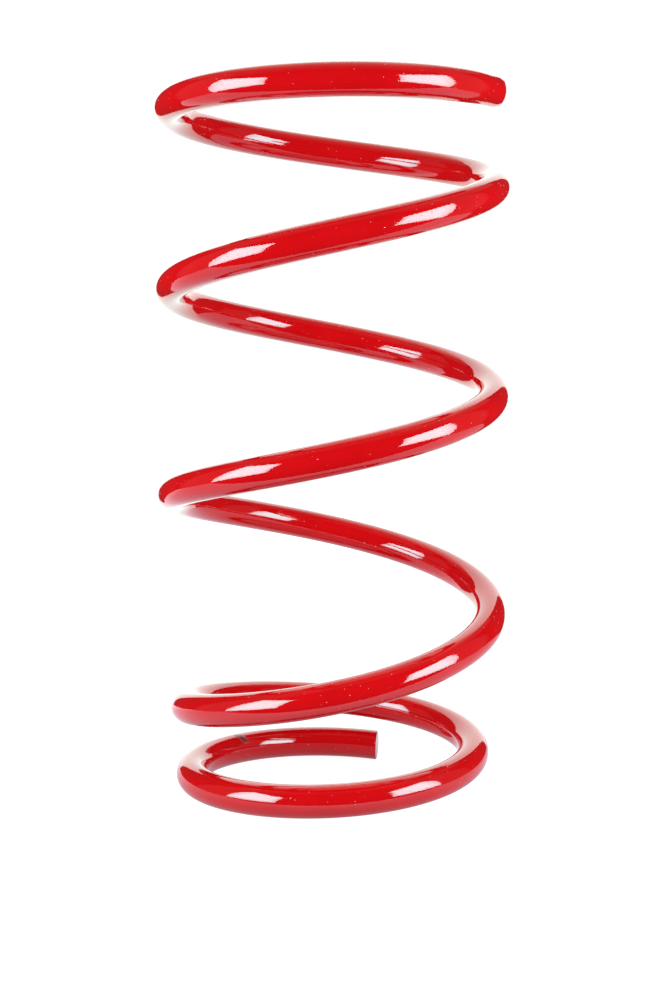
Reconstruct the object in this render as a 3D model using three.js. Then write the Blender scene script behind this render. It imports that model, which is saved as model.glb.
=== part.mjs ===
import * as THREE from 'three';

// Suspension coil spring, in millimetres, +Z up along the coil axis.
// The real spring is one length of round spring wire, wound right-handed. Its lower end is
// smaller and closely wound, to sit in a spring pan, and its upper end lies level.
// The wire is built as short arcs cut by upright planes through the coil axis, because a coil
// closes up little by little along its wire: each active arc slides up and down on its own.
// The origin is on the coil axis, level with the lowest point of the wire.

const WIRE_DIAMETER = 14;
const MAIN_MEAN_DIAMETER = 143;
const LOWER_MEAN_DIAMETER = 127;

// Angles run along the wire from +X, in degrees, and keep counting turn after turn.
const LOWER_CUT_ANGLE = 70;
const UPPER_CUT_ANGLE = 1782;
const FLARE_START_ANGLE = 405;
const FLARE_END_ANGLE = 790;

// The pitch, in millimetres per turn, changes evenly between these points of the winding.
const WINDING = [
  { angle: LOWER_CUT_ANGLE, pitch: 12 },
  { angle: 420, pitch: 28 },
  { angle: 660, pitch: 100 },
  { angle: 780, pitch: 103 },
  { angle: 1260, pitch: 84 },
  { angle: 1400, pitch: 105 },
  { angle: 1600, pitch: 40 },
  { angle: 1745, pitch: 0 },
  { angle: UPPER_CUT_ANGLE, pitch: 0 },
];

// Where the wire is divided: the first cut, the angle from cut to cut, and the arcs in each stretch.
const FIRST_DIVISION_ANGLE = 112.5;
const ARC_ANGLE = 45;
const LOWER_END_ARCS = 8;
const ACTIVE_ARCS = 27;
const UPPER_END_ARCS = 3;
const ARC_GAP = 0.3;

const SECTION_SIDES = 16;
const STEP_ANGLE = 7.5;

const WIRE_RADIUS = WIRE_DIAMETER / 2;
const FULL_TURN = 360;
const UP = new THREE.Vector3(0, 0, 1);
const { clamp, degToRad, lerp, smoothstep } = THREE.MathUtils;

function coilRadius(angle) {
  const flare = smoothstep(angle, FLARE_START_ANGLE, FLARE_END_ANGLE);
  return lerp(LOWER_MEAN_DIAMETER, MAIN_MEAN_DIAMETER, flare) / 2;
}

// Pitch at an angle, and the rise of the wire from its lower cut end to that angle.
function windingAt(angle) {
  let pitch = WINDING[0].pitch;
  let rise = 0;
  for (let row = 1; row < WINDING.length; row++) {
    const from = WINDING[row - 1];
    const to = WINDING[row];
    const turned = clamp(angle - from.angle, 0, to.angle - from.angle);
    if (turned === 0) break;
    pitch = lerp(from.pitch, to.pitch, turned / (to.angle - from.angle));
    rise += ((from.pitch + pitch) / 2) * (turned / FULL_TURN);
  }
  return { pitch, rise };
}

// A round wire cut by an upright plane is a little taller than it is wide, because the wire climbs.
function heightStretch(angle) {
  const climb = windingAt(angle).pitch / (2 * Math.PI * coilRadius(angle));
  return Math.hypot(1, climb);
}

// The centre line of one stretch of wire. Its frames stand in upright planes through the coil axis,
// so the cut faces of two neighbouring arcs stay parallel while one slides past the other.
class WirePath extends THREE.Curve {
  constructor(startAngle, endAngle) {
    super();
    this.startAngle = startAngle;
    this.endAngle = endAngle;
  }

  angleAt(fraction) {
    return lerp(this.startAngle, this.endAngle, fraction);
  }

  getPoint(fraction, target = new THREE.Vector3()) {
    const angle = this.angleAt(fraction);
    const radius = coilRadius(angle);
    const bottomToCentre = WIRE_RADIUS * heightStretch(LOWER_CUT_ANGLE);
    const height = bottomToCentre + windingAt(angle).rise;
    return target.set(radius * Math.cos(degToRad(angle)), radius * Math.sin(degToRad(angle)), height);
  }

  getPointAt(fraction, target) {
    return this.getPoint(fraction, target);
  }

  computeFrenetFrames(steps) {
    const frames = { tangents: [], normals: [], binormals: [] };
    for (let step = 0; step <= steps; step++) {
      const angle = this.angleAt(step / steps);
      const inward = new THREE.Vector3(-Math.cos(degToRad(angle)), -Math.sin(degToRad(angle)), 0);
      frames.normals.push(inward);
      frames.tangents.push(new THREE.Vector3().crossVectors(inward, UP));
      frames.binormals.push(UP.clone().multiplyScalar(heightStretch(angle)));
    }
    return frames;
  }
}

// A many-sided round with flats on its top, bottom, inner and outer sides.
function wireSection() {
  const halfSide = Math.PI / SECTION_SIDES;
  const cornerRadius = WIRE_RADIUS / Math.cos(halfSide);
  const corners = [];
  for (let side = 0; side < SECTION_SIDES; side++) {
    const turn = (2 * side + 1) * halfSide;
    corners.push(new THREE.Vector2(cornerRadius * Math.cos(turn), cornerRadius * Math.sin(turn)));
  }
  return new THREE.Shape(corners);
}

function wireArc(name, startAngle, endAngle) {
  const steps = Math.ceil((endAngle - startAngle) / STEP_ANGLE);
  const path = new WirePath(startAngle, endAngle);
  const geometry = new THREE.ExtrudeGeometry(wireSection(), { steps, extrudePath: path });
  const redPowderCoat = new THREE.MeshStandardMaterial({
    color: 0xcf0d16,
    roughness: 0.22,
    metalness: 0,
  });
  const arc = new THREE.Mesh(geometry, redPowderCoat);
  arc.name = name;
  return arc;
}

const arcNames = [];
const stretches = [
  ['lower_end_coil_arc', LOWER_END_ARCS],
  ['active_coil_arc', ACTIVE_ARCS],
  ['upper_end_coil_arc', UPPER_END_ARCS],
];
for (const [stretchName, arcCount] of stretches) {
  for (let number = 1; number <= arcCount; number++) {
    arcNames.push(`${stretchName}_${String(number).padStart(2, '0')}`);
  }
}

const spring = new THREE.Group();
arcNames.forEach((name, index) => {
  const isFirst = index === 0;
  const isLast = index === arcNames.length - 1;
  const startCut = FIRST_DIVISION_ANGLE + (index - 1) * ARC_ANGLE;
  const halfGap = THREE.MathUtils.radToDeg(ARC_GAP / 2 / coilRadius(startCut));
  const startAngle = isFirst ? LOWER_CUT_ANGLE : startCut + halfGap;
  const endAngle = isLast ? UPPER_CUT_ANGLE : startCut + ARC_ANGLE - halfGap;
  spring.add(wireArc(name, startAngle, endAngle));
});

export default spring;
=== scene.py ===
import math

import bpy
import numpy as np
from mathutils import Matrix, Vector


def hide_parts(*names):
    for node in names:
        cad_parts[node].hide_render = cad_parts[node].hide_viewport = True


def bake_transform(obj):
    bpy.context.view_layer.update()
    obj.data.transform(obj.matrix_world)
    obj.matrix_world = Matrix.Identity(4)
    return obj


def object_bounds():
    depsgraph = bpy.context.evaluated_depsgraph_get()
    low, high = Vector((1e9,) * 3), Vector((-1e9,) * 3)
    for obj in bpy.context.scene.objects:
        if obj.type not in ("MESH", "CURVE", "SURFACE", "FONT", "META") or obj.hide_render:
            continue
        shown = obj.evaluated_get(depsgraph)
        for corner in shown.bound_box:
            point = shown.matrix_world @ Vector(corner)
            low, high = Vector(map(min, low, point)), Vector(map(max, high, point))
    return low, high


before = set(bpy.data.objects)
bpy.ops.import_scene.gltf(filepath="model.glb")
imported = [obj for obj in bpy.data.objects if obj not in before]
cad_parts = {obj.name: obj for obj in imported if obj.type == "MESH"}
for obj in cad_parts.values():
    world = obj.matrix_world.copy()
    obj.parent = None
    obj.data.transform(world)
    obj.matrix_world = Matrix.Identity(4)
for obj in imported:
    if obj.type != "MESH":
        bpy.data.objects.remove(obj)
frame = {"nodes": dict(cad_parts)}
cad_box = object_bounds()
nodes = frame["nodes"]

# A red powder-coated suspension coil spring: one length of round wire, in metres, +Z up.
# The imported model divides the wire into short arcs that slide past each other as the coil
# closes up. Here the same wire is one smooth surface, read from those arcs.

STRETCHES = ("lower_end_coil", "active_coil", "upper_end_coil")
ARC_NAMES = [name for stretch in STRETCHES for name in sorted(nodes) if name.startswith(stretch)]

# The wire's surface: the angle from ring to ring along it, and the points round a ring.
RING_STEP = math.radians(1.5)
RING_POINTS = 64
# The small corners where arcs meet are rounded off over this many rings.
SMOOTHING_RINGS = 11

# The two sheared ends are cut aslant, shorter on the outer side of the coil. The lower one is
# crisp. The upper one has a soft corner, and its last stretch runs straight.
LOWER_CORNER = 0.0006
UPPER_CORNER = 0.0020
CORNER_RINGS = 8
# The rings on each end face, as parts of its radius.
FACE_RINGS = (0.85, 0.6, 0.3)
LOWER_SLANT = math.radians(11.5)
UPPER_SLANT = math.radians(23)
# The slant of each end dies out over this length of wire.
SLANT_REACH = 0.012
STRAIGHT_LENGTH = 0.016

# The travel sets in and levels off gently, within this angle of each end of the active coils.
EASE_ANGLE = math.radians(24)

# The paint: two reds that cloud into each other, orange peel, dust nibs and one scuff. The nibs are
# real bumps, and their pale colour is a painted glint. Each NOISE is how fine the pattern is and its
# detail, and each RANGE is the part of it that's used.
RED_DEEP = (0.60, 0.0020, 0.0045, 1)
RED_LIGHT = (0.65, 0.0030, 0.0056, 1)
COAT_IOR = 1.5
CLOUD_NOISE = (60, 3)
CLOUD_RANGE = (0.3, 0.7)
GLOSS_ROUGHNESS = (0.05, 0.075)
PEEL_NOISE = (300, 1)
PEEL_DEPTH = 0.000019
RIPPLE_NOISE = (1100, 1)
RIPPLE_DEPTH = 0.0000010
NIB_SCALE = 520.0
NIB_SIZE = (0.07, 0.17)
NIB_HEIGHT = 0.00008
# The nibs' pale colour is a painted highlight: it stands in for the glint of light on each speck.
NIB_GLINT_COLOUR = (1.0, 0.55, 0.50, 1)
# Where nibs are rare and where they gather: the share of the cells that stay clean.
NIB_NOISE = (22, 1)
NIB_RANGE = (0.38, 0.62)
NIB_RARITY = (0.96, 0.38)
# The ends of the scuff: the angle along the coil, and the angle round the wire's section.
SCUFF_FROM = (math.radians(137.4), math.radians(102))
SCUFF_TO = (math.radians(135.3), math.radians(133))
SCUFF_WIDTH = 0.0021
# The share of the scuff's width that is worn evenly, inside its ragged edge.
SCUFF_CORE = 0.5
SCUFF_EDGE_NOISE = (1500, 3)
SCUFF_WEAR_NOISE = (2500, 2)
SCUFF_WEAR_RANGE = (0.35, 0.65)
SCUFF_DEPTH = 0.00010
SCUFF_DARK = (0.085, 0.008, 0.005, 1)
SCUFF_PALE = (0.21, 0.045, 0.060, 1)
SCUFF_ROUGHNESS = 0.34

LOW, HIGH = cad_box
MIDDLE = (LOW + HIGH) / 2


# The wire's centre line

def rings_of(name):
    """The angle, coil radius, height and wire radius at each cross-section of one CAD arc."""
    points = np.array([vertex.co for vertex in nodes[name].data.vertices])
    x, y, z = points.T
    middle = math.atan2(y.mean(), x.mean())
    angle = np.arctan2(
        y * math.cos(middle) - x * math.sin(middle),
        x * math.cos(middle) + y * math.sin(middle),
    )
    from_axis = np.hypot(x, y)
    order = np.argsort(angle)
    cuts = np.flatnonzero(np.diff(angle[order]) > RING_STEP / 2) + 1
    rings = []
    for ring in np.split(order, cuts):
        near, far = from_axis[ring].min(), from_axis[ring].max()
        low, high = z[ring].min(), z[ring].max()
        rings.append((middle + angle[ring].mean(), (near + far) / 2, (low + high) / 2, (far - near) / 2))
    return np.array(rings)


def read_centre_line():
    """The rings of all arcs in order along the wire, with an angle that keeps counting turns."""
    arcs = []
    reached = -math.inf
    for name in ARC_NAMES:
        rings = rings_of(name)
        while rings[:, 0].mean() < reached:
            rings[:, 0] += 2 * math.pi
        reached = rings[-1, 0]
        arcs.append(rings)
    return arcs


def smoothed(values):
    """values with their small corners rounded off, and their ends carried on in a straight line."""
    reach = SMOOTHING_RINGS // 2
    steps = np.arange(1, reach + 1)
    before = values[0] - steps[::-1] * (values[1] - values[0])
    after = values[-1] + steps * (values[-1] - values[-2])
    kernel = np.hanning(SMOOTHING_RINGS + 2)[1:-1]
    return np.convolve(np.concatenate([before, values, after]), kernel / kernel.sum(), "valid")


arcs = read_centre_line()
all_rings = np.concatenate(arcs)
WIRE_RADIUS = all_rings[:, 3].mean()
start_angle, end_angle = all_rings[0, 0], all_rings[-1, 0]
ring_count = math.ceil((end_angle - start_angle) / RING_STEP) + 1
angles = np.linspace(start_angle, end_angle, ring_count)
radii = smoothed(np.interp(angles, all_rings[:, 0], all_rings[:, 1]))
heights = smoothed(np.interp(angles, all_rings[:, 0], all_rings[:, 2]))


def unit(vectors):
    return vectors / np.linalg.norm(vectors, axis=-1, keepdims=True)


def straightened(points):
    """The centre line with its last stretch run out straight."""
    steps = np.linalg.norm(np.diff(points, axis=0), axis=1)
    to_end = np.concatenate([np.cumsum(steps[::-1])[::-1], [0]])
    first = np.argmax(to_end < STRAIGHT_LENGTH)
    heading = unit(points[first] - points[first - 1])
    run = to_end[first] - to_end[first:]
    return np.concatenate([points[:first], points[first] + np.outer(run, heading)])


round_coil = np.stack([radii * np.cos(angles), radii * np.sin(angles), heights], axis=1)
centres = straightened(round_coil)

along = unit(np.gradient(centres, axis=0))
outward = np.stack([np.cos(angles), np.sin(angles), np.zeros(ring_count)], axis=1)
outward = unit(outward - along * (outward * along).sum(axis=1, keepdims=True))
upward = np.cross(outward, along)
if upward[ring_count // 2, 2] < 0:
    upward = -upward


# How far each ring goes with the travel: nothing in the closed end, all of it in the top end

first_active = arcs[[name.startswith("active") for name in ARC_NAMES].index(True)][0, 0]
last_active = arcs[[name.startswith("upper") for name in ARC_NAMES].index(True)][0, 0]


def travel_shares():
    foot, head = np.interp([first_active, last_active], angles, heights)
    share = np.clip((heights - foot) / (head - foot), 0, 1)
    share[angles < first_active] = 0
    share[angles > last_active] = 1
    reach = int(EASE_ANGLE / RING_STEP)
    kernel = np.hanning(2 * reach + 3)[1:-1]
    padded = np.concatenate([np.zeros(reach), share, np.ones(reach)])
    return np.convolve(padded, kernel / kernel.sum(), "valid")


shares = travel_shares()


# The wire as one closed mesh

turn = np.linspace(0, 2 * math.pi, RING_POINTS, endpoint=False)


def ring_at(index, size, shift):
    """One ring of points: size is its radius, shift its distance along the wire at each point."""
    spread = np.outer(np.cos(turn), outward[index]) + np.outer(np.sin(turn), upward[index])
    return centres[index] + size * spread + np.outer(shift, along[index])


def slant_at(index):
    """How far each point of a ring is moved along the wire, so that both ends are cut aslant."""
    from_start = np.linalg.norm(centres[index] - centres[0])
    from_end = np.linalg.norm(centres[index] - centres[-1])
    start_part = max(0.0, 1 - from_start / SLANT_REACH) * math.tan(LOWER_SLANT)
    end_part = max(0.0, 1 - from_end / SLANT_REACH) * math.tan(UPPER_SLANT)
    return (start_part - end_part) * WIRE_RADIUS * np.cos(turn)


def end_rings(index, corner, outwards):
    """The rings that round an end's corner and close its face, from the wire's side inwards."""
    rings = []
    slant = slant_at(index) / WIRE_RADIUS
    for step in range(1, CORNER_RINGS + 1):
        bend = step / CORNER_RINGS * math.pi / 2
        size = WIRE_RADIUS - corner * (1 - math.cos(bend))
        past = outwards * corner * (math.sin(bend) - 1)
        rings.append((index, size, past + slant * size))
    face = WIRE_RADIUS - corner
    for fraction in FACE_RINGS:
        rings.append((index, face * fraction, slant * face * fraction))
    return rings


def wire_rings():
    """Every ring as (index along the wire, radius, shift), from the lower face to the upper one."""
    spacing = np.linalg.norm(centres[1] - centres[0])
    skipped = math.ceil(UPPER_CORNER / spacing) + 1
    lower = end_rings(0, LOWER_CORNER, -1)[::-1]
    body = [(i, WIRE_RADIUS, slant_at(i)) for i in range(1, ring_count - skipped)]
    upper = end_rings(ring_count - 1, UPPER_CORNER, 1)
    return lower + body + upper


def build_wire():
    rings = wire_rings()
    points = [ring_at(*ring) for ring in rings]
    owners = [np.full(RING_POINTS, index) for index, _, _ in rings]
    vertices = np.concatenate(points + [points[0].mean(axis=0)[None], points[-1].mean(axis=0)[None]])
    owner = np.concatenate(owners + [[rings[0][0], rings[-1][0]]])
    faces = []
    for ring in range(len(rings) - 1):
        for side in range(RING_POINTS):
            a = ring * RING_POINTS + side
            b = ring * RING_POINTS + (side + 1) % RING_POINTS
            faces.append((a, b, b + RING_POINTS, a + RING_POINTS))
    first_hub, last_hub = len(vertices) - 2, len(vertices) - 1
    last_ring = (len(rings) - 1) * RING_POINTS
    for side in range(RING_POINTS):
        following = (side + 1) % RING_POINTS
        faces.append((following, side, first_hub))
        faces.append((last_ring + side, last_ring + following, last_hub))
    mesh = bpy.data.meshes.new("coil_wire")
    mesh.from_pydata(vertices.tolist(), [], faces)
    mesh.validate()
    mesh.update()
    mesh.polygons.foreach_set("use_smooth", [True] * len(mesh.polygons))
    wire = bpy.data.objects.new("coil_wire", mesh)
    bpy.context.scene.collection.objects.link(wire)
    return wire, vertices, owner.astype(int)


wire, rest_points, owner = build_wire()


def store(mesh, name, kind, field, values):
    attribute = mesh.attributes.new(name, kind, "POINT")
    attribute.data.foreach_set(field, np.asarray(values, dtype=np.float32).ravel())


store(wire.data, "rest_position", "FLOAT_VECTOR", "vector", rest_points)


# Red powder coat

class Nodes:
    """A short way to add shader nodes and link them."""

    def __init__(self, tree):
        self.tree = tree
        tree.nodes.clear()

    def add(self, kind, inputs=None, **settings):
        node = self.tree.nodes.new(kind)
        for name, value in settings.items():
            setattr(node, name, value)
        for name, value in (inputs or {}).items():
            socket = node.inputs[name]
            if isinstance(value, bpy.types.NodeSocket):
                self.tree.links.new(value, socket)
            else:
                socket.default_value = value
        return node


def on_surface(angle, around):
    """The point of the wire's surface at an angle along the coil and an angle round the section."""
    ring = int(np.argmin(abs(angles - angle)))
    side = math.cos(around) * outward[ring] + math.sin(around) * upward[ring]
    return Vector(centres[ring] + WIRE_RADIUS * side)


def mapped(nodes, value, low, high, to_low, to_high, smooth=False):
    inputs = {"Value": value, "From Min": low, "From Max": high, "To Min": to_low, "To Max": to_high}
    shape = "SMOOTHSTEP" if smooth else "LINEAR"
    return nodes.add("ShaderNodeMapRange", inputs, interpolation_type=shape).outputs["Result"]


def noise(nodes, place, scale, detail):
    inputs = {"Vector": place, "Scale": scale, "Detail": detail}
    return nodes.add("ShaderNodeTexNoise", inputs).outputs["Fac"]


def product(nodes, first, second):
    return nodes.add("ShaderNodeMath", {0: first, 1: second}, operation="MULTIPLY").outputs[0]


def mixed(nodes, share, first, second):
    return nodes.add("ShaderNodeMix", {0: share, 6: first, 7: second}, data_type="RGBA").outputs[2]


def scuff_mask(nodes, place):
    """1 on the scuff and 0 away from it: nearness to the line between its ends, roughened."""
    first, last = on_surface(*SCUFF_FROM), on_surface(*SCUFF_TO)
    line = last - first
    offset = nodes.add("ShaderNodeVectorMath", {0: place, 1: first}, operation="SUBTRACT").outputs[0]
    inputs = {0: offset, 1: line / line.length_squared}
    share = nodes.add("ShaderNodeVectorMath", inputs, operation="DOT_PRODUCT").outputs["Value"]
    share = nodes.add("ShaderNodeClamp", {"Value": share}).outputs[0]
    foot = nodes.add("ShaderNodeVectorMath", {0: line, "Scale": share}, operation="SCALE").outputs[0]
    gap = nodes.add("ShaderNodeVectorMath", {0: offset, 1: foot}, operation="DISTANCE").outputs["Value"]
    reach = product(nodes, noise(nodes, place, *SCUFF_EDGE_NOISE), 2 * SCUFF_WIDTH)
    return mapped(nodes, gap, product(nodes, reach, SCUFF_CORE), reach, 1, 0, smooth=True)


def nib_mask(nodes, place):
    """1 on the specks of dust caught in the paint: the middles of some cells, more in some places."""
    cells = nodes.add("ShaderNodeTexVoronoi", {"Vector": place, "Scale": NIB_SCALE}).outputs
    parts = nodes.add("ShaderNodeSeparateColor", {"Color": cells["Color"]}).outputs
    rarity = mapped(nodes, noise(nodes, place, *NIB_NOISE), *NIB_RANGE, *NIB_RARITY)
    inputs = {0: parts["Red"], 1: rarity}
    chosen = nodes.add("ShaderNodeMath", inputs, operation="GREATER_THAN").outputs[0]
    size = mapped(nodes, parts["Green"], 0, 1, *NIB_SIZE)
    near = mapped(nodes, cells["Distance"], 0, size, 1, 0, smooth=True)
    return product(nodes, near, chosen)


def bumped(nodes, layers):
    """The surface normal after each (height, depth) layer in turn. A negative depth presses in."""
    normal = None
    for height, depth in layers:
        inputs = {"Height": height, "Strength": 1.0, "Distance": abs(depth)}
        if normal is not None:
            inputs["Normal"] = normal
        normal = nodes.add("ShaderNodeBump", inputs, invert=depth < 0).outputs["Normal"]
    return normal


def red_powder_coat():
    material = bpy.data.materials.new("red_powder_coat")
    material.use_nodes = True
    nodes = Nodes(material.node_tree)
    place = nodes.add("ShaderNodeAttribute", attribute_name="rest_position").outputs["Vector"]
    cloud = noise(nodes, place, *CLOUD_NOISE)
    nibs = nib_mask(nodes, place)
    scuff = scuff_mask(nodes, place)
    red = mixed(nodes, mapped(nodes, cloud, *CLOUD_RANGE, 0, 1), RED_DEEP, RED_LIGHT)
    # The pale specks are painted glints on the dust nibs.
    specks_with_glints = mixed(nodes, nibs, red, NIB_GLINT_COLOUR)
    wear = mapped(nodes, noise(nodes, place, *SCUFF_WEAR_NOISE), *SCUFF_WEAR_RANGE, 0, 1)
    worn = mixed(nodes, wear, SCUFF_DARK, SCUFF_PALE)
    gloss = mapped(nodes, cloud, *CLOUD_RANGE, *GLOSS_ROUGHNESS)
    layers = (
        (noise(nodes, place, *PEEL_NOISE), PEEL_DEPTH),
        (noise(nodes, place, *RIPPLE_NOISE), RIPPLE_DEPTH),
        (nibs, NIB_HEIGHT),
        (scuff, -SCUFF_DEPTH),
    )
    inputs = {
        "Base Color": mixed(nodes, scuff, specks_with_glints, worn),
        "Roughness": mapped(nodes, scuff, 0, 1, gloss, SCUFF_ROUGHNESS),
        "IOR": COAT_IOR,
        "Normal": bumped(nodes, layers),
    }
    coat = nodes.add("ShaderNodeBsdfPrincipled", inputs)
    nodes.add("ShaderNodeOutputMaterial", {"Surface": coat.outputs["BSDF"]})
    return material


wire.data.materials.append(red_powder_coat())
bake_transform(wire)
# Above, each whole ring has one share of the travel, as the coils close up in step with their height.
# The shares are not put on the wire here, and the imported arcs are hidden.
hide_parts(*ARC_NAMES)


# The studio, in metres from the coil axis. Glowing sheets are what the gloss of the wire
# mirrors. Lamps that the gloss doesn't mirror light its colour. Each GLOW that is a pair of
# rows gives places in the room and how bright the sheet is there. A BLEND goes from 1 to 0.

SHEET_STEPS = 24
SIDE_DISTANCE = 0.64

TABLE_FRONT, TABLE_BACK = -0.14, 0.26
TABLE_RIGHT_GLOW = (TABLE_FRONT, -0.1, 0.0, TABLE_BACK), (1.6, 1.3, 1.1, 0.85)
TABLE_LEFT_GLOW = (TABLE_FRONT, -0.1, 0.0, 0.12, TABLE_BACK), (1.6, 1.3, 1.1, 1.2, 1.9)
TABLE_BLEND = (-0.02, 0.12), (1, 0)
TABLE_SHADE = 0.65
TABLE_SHADE_REACH = 0.09
TABLE_SHADE_EDGE = 4
TABLE_TINT = (1.0, 1.0, 1.13)

SOFTBOX_FRONT = -0.75
SOFTBOX_LOW, SOFTBOX_HIGH = 0.04, 0.68
SOFTBOX_GLOW = 18
SOFTBOX_FADE = (0, 0.12), (0.6, 1)
SOFTBOX_TINT = (0.42, 1.03, 1.10)
SOFTBOX_LAMP = 4.9

SIDE_WALL_DEPTH = 0.42
SIDE_WALL_HEIGHT = 0.95
SIDE_WALL_GLOW = (0.16, 0.28), (0.24, 0)

BACK_DISTANCE = 0.65
BACK_WIDTH = 0.74
BACK_LOW = -0.45
BACK_HEIGHT = 1.4
BACK_GLOW = (0, 0.4), (2.0, 2.4)
BACK_TINT = (0.78, 1.0, 0.96)
BACK_LAMP = 0.2
BACK_LAMP_MIDDLE = 0.45
BACK_LAMP_HEIGHT = 0.9
BACK_FILL = 8.5
BACK_FILL_PLACE = (0, 1.0, 0.16)
BACK_FILL_SIZE = 0.4

CEILING_HEIGHT = 1.5
CEILING_FRONT = -1.0
CEILING_SIZE = 2.4
CEILING_SIDE_GLOW = (-1.0, -0.6, -0.2, 0.4), (0.0, 0.10, 0.20, 0.22)
CEILING_MIDDLE_GLOW = (-1.0, -0.6, -0.2, 0.2, 0.6, 1.4), (0.0, 0.12, 0.26, 0.62, 1.15, 2.3)
CEILING_BLEND = (0.35, 0.75), (1, 0)
CEILING_TINT = (1.0, 1.0, 0.88)

FLOOR_REACH = 3
FLOOR_COLOUR = (0.32, 0.32, 0.32, 1)
# The light that the floor gives off, to everything else and to the camera.
FLOOR_LIFT = (0.24, 0.90)

# The light of the room in the gloss of the wire, and on matt surfaces.
ROOM_GLOSS = 0.05
ROOM_LIGHT = 0.38

# The camera: its lens in millimetres, and its place from the middle of the spring's foot.
LENS = 61.84
LENS_SHIFT = (-0.0011, -0.054)
CAMERA_PLACE = (MIDDLE.x + 0.0007, MIDDLE.y - 0.7646, LOW.z + 0.2285)
CAMERA_TILT = math.radians(5.17)


def emission_object(name, points, faces, glow, tint):
    """A mesh that gives off the light stored at its points."""
    mesh = bpy.data.meshes.new(name)
    mesh.from_pydata(np.asarray(points).tolist(), [], faces)
    store(mesh, "glow", "FLOAT", "value", glow)
    material = bpy.data.materials.new(name)
    material.use_nodes = True
    nodes = Nodes(material.node_tree)
    strength = nodes.add("ShaderNodeAttribute", attribute_name="glow").outputs["Fac"]
    light = nodes.add("ShaderNodeEmission", {"Color": (*tint, 1), "Strength": strength})
    nodes.add("ShaderNodeOutputMaterial", {"Surface": light.outputs["Emission"]})
    material.cycles.emission_sampling = "NONE"
    mesh.materials.append(material)
    item = bpy.data.objects.new(name, mesh)
    bpy.context.scene.collection.objects.link(item)
    return item


def gloss_sheet(name, corner, across, up, glow_at, tint=(1, 1, 1)):
    """A flat glowing sheet that only gloss mirrors. glow_at gives the light at its points."""
    steps = np.linspace(0, 1, SHEET_STEPS + 1)
    right, rise = (part.ravel()[:, None] for part in np.meshgrid(steps, steps))
    points = np.array(corner) + right * np.array(across) + rise * np.array(up)
    row = SHEET_STEPS + 1
    starts = [r * row + c for r in range(SHEET_STEPS) for c in range(SHEET_STEPS)]
    faces = [(s, s + 1, s + row + 1, s + row) for s in starts]
    sheet = emission_object(name, points, faces, glow_at(points), tint)
    sheet.visible_camera = False
    sheet.visible_diffuse = False
    sheet.visible_shadow = False


def softbox_glow(points):
    """Brightest in the middle, fading towards the edges."""
    y, z = points[:, 1], points[:, 2]
    to_side = np.minimum(y - SOFTBOX_FRONT, TABLE_FRONT - y)
    to_end = np.minimum(z - SOFTBOX_LOW, SOFTBOX_HIGH - z)
    return SOFTBOX_GLOW * np.interp(np.minimum(to_side, to_end), *SOFTBOX_FADE)


def side_wall_glow(points):
    return np.interp(points[:, 1], *SIDE_WALL_GLOW)


def backdrop_glow(points):
    return np.interp(points[:, 2], *BACK_GLOW)


def ceiling_glow(points):
    """Dim over the front of the room and at the sides, bright in the middle towards the backdrop."""
    x, y = abs(points[:, 0]), points[:, 1]
    side = np.interp(y, *CEILING_SIDE_GLOW)
    middle = np.interp(y, *CEILING_MIDDLE_GLOW)
    return side + (middle - side) * np.interp(x, *CEILING_BLEND)


def table_glow(points):
    """Brightest at the front edge, shaded under the spring, and brighter at the back on the left."""
    x, y = points[:, 0], points[:, 1]
    shade = 1 - TABLE_SHADE * np.exp(-((np.hypot(x, y) / TABLE_SHADE_REACH) ** TABLE_SHADE_EDGE))
    right = np.interp(y, *TABLE_RIGHT_GLOW)
    left = np.interp(y, *TABLE_LEFT_GLOW)
    return shade * (right + (left - right) * np.interp(x, *TABLE_BLEND))


def lamp(name, place, towards, width, height, radiance):
    """A lamp that lights the colour of the wire but isn't mirrored in its gloss."""
    light = bpy.data.lights.new(name, "AREA")
    light.shape = "RECTANGLE"
    light.size, light.size_y = width, height
    light.energy = radiance * math.pi * width * height
    item = bpy.data.objects.new(name, light)
    item.location = place
    item.rotation_euler = Vector(towards).to_track_quat("-Z", "Y").to_euler()
    item.visible_camera = False
    item.visible_glossy = False
    bpy.context.scene.collection.objects.link(item)


def light_studio():
    depth = TABLE_FRONT - SOFTBOX_FRONT
    height = SOFTBOX_HIGH - SOFTBOX_LOW
    middle = (SOFTBOX_FRONT + TABLE_FRONT) / 2
    for side in (-1, 1):
        x = side * SIDE_DISTANCE
        corner = (x, SOFTBOX_FRONT, SOFTBOX_LOW)
        gloss_sheet("softbox", corner, (0, depth, 0), (0, 0, height), softbox_glow, SOFTBOX_TINT)
        corner = (x, TABLE_FRONT, 0)
        wall = (0, SIDE_WALL_DEPTH, 0), (0, 0, SIDE_WALL_HEIGHT)
        gloss_sheet("side_wall", corner, *wall, side_wall_glow)
        centre = (x, middle, SOFTBOX_LOW + height / 2)
        lamp("softbox_lamp", centre, (-side, 0, 0), depth, height, SOFTBOX_LAMP)
    corner = (-BACK_WIDTH / 2, BACK_DISTANCE, BACK_LOW)
    gloss_sheet("backdrop", corner, (BACK_WIDTH, 0, 0), (0, 0, BACK_HEIGHT), backdrop_glow, BACK_TINT)
    centre = (0, BACK_DISTANCE, BACK_LAMP_MIDDLE)
    lamp("backdrop_lamp", centre, (0, -1, 0), BACK_WIDTH, BACK_LAMP_HEIGHT, BACK_LAMP)
    lamp("back_fill", BACK_FILL_PLACE, (0, -1, 0), BACK_FILL_SIZE, BACK_FILL_SIZE, BACK_FILL)
    corner = (-CEILING_SIZE / 2, CEILING_FRONT, CEILING_HEIGHT)
    width, depth = (CEILING_SIZE, 0, 0), (0, CEILING_SIZE, 0)
    gloss_sheet("ceiling", corner, width, depth, ceiling_glow, CEILING_TINT)
    corner = (-SIDE_DISTANCE, TABLE_FRONT, LOW.z)
    width, depth = (2 * SIDE_DISTANCE, 0, 0), (0, TABLE_BACK - TABLE_FRONT, 0)
    gloss_sheet("table_gloss", corner, width, depth, table_glow, TABLE_TINT)


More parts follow.
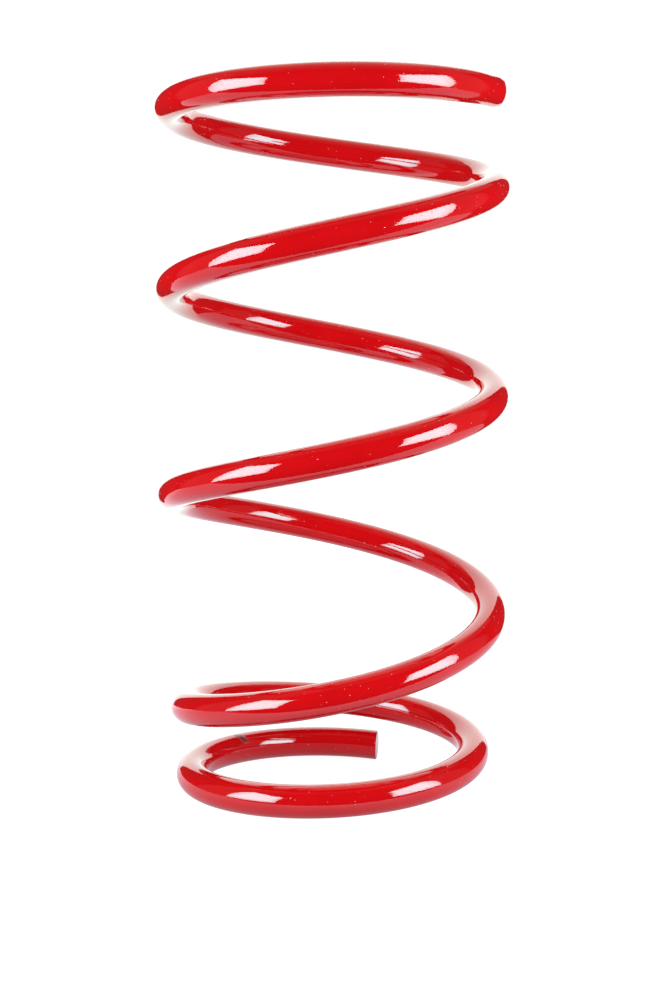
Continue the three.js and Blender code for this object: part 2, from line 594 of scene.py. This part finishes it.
def lay_floor():
    """The plain white floor: matt, and lifted a little so that it shows as white."""
    mesh = bpy.data.meshes.new("floor")
    signs = ((-1, -1), (1, -1), (1, 1), (-1, 1))
    corners = [(FLOOR_REACH * x, FLOOR_REACH * y, 0) for x, y in signs]
    mesh.from_pydata(corners, [], [(0, 1, 2, 3)])
    floor = bpy.data.objects.new("floor", mesh)
    bpy.context.scene.collection.objects.link(floor)
    material = bpy.data.materials.new("floor")
    material.use_nodes = True
    nodes = Nodes(material.node_tree)
    ray = nodes.add("ShaderNodeLightPath").outputs["Is Camera Ray"]
    paint = nodes.add("ShaderNodeBsdfDiffuse", {"Color": FLOOR_COLOUR})
    lift = nodes.add("ShaderNodeEmission", {"Strength": mapped(nodes, ray, 0, 1, *FLOOR_LIFT)})
    both = nodes.add("ShaderNodeAddShader", {0: paint.outputs[0], 1: lift.outputs[0]})
    nodes.add("ShaderNodeOutputMaterial", {"Surface": both.outputs[0]})
    mesh.materials.append(material)
    floor.visible_glossy = False
    floor.location.z = LOW.z


def light_room():
    """White to the camera, soft on matt surfaces, and nearly dark in the gloss."""
    world = bpy.data.worlds.new("room")
    bpy.context.scene.world = world
    world.use_nodes = True
    nodes = Nodes(world.node_tree)
    ray = nodes.add("ShaderNodeLightPath").outputs
    unseen = mapped(nodes, ray["Is Diffuse Ray"], 0, 1, ROOM_GLOSS, ROOM_LIGHT)
    strength = mapped(nodes, ray["Is Camera Ray"], 0, 1, unseen, 1.0)
    room = nodes.add("ShaderNodeBackground", {"Color": (1, 1, 1, 1), "Strength": strength})
    nodes.add("ShaderNodeOutputWorld", {"Surface": room.outputs[0]})


def place_camera():
    data = bpy.data.cameras.new("camera")
    data.lens = LENS
    data.shift_x, data.shift_y = LENS_SHIFT
    camera = bpy.data.objects.new("camera", data)
    camera.location = CAMERA_PLACE
    camera.rotation_euler = (math.radians(90) - CAMERA_TILT, 0, 0)
    bpy.context.scene.collection.objects.link(camera)
    bpy.context.scene.camera = camera


light_studio()
lay_floor()
light_room()
place_camera()
bpy.context.scene.view_settings.view_transform = "Standard"
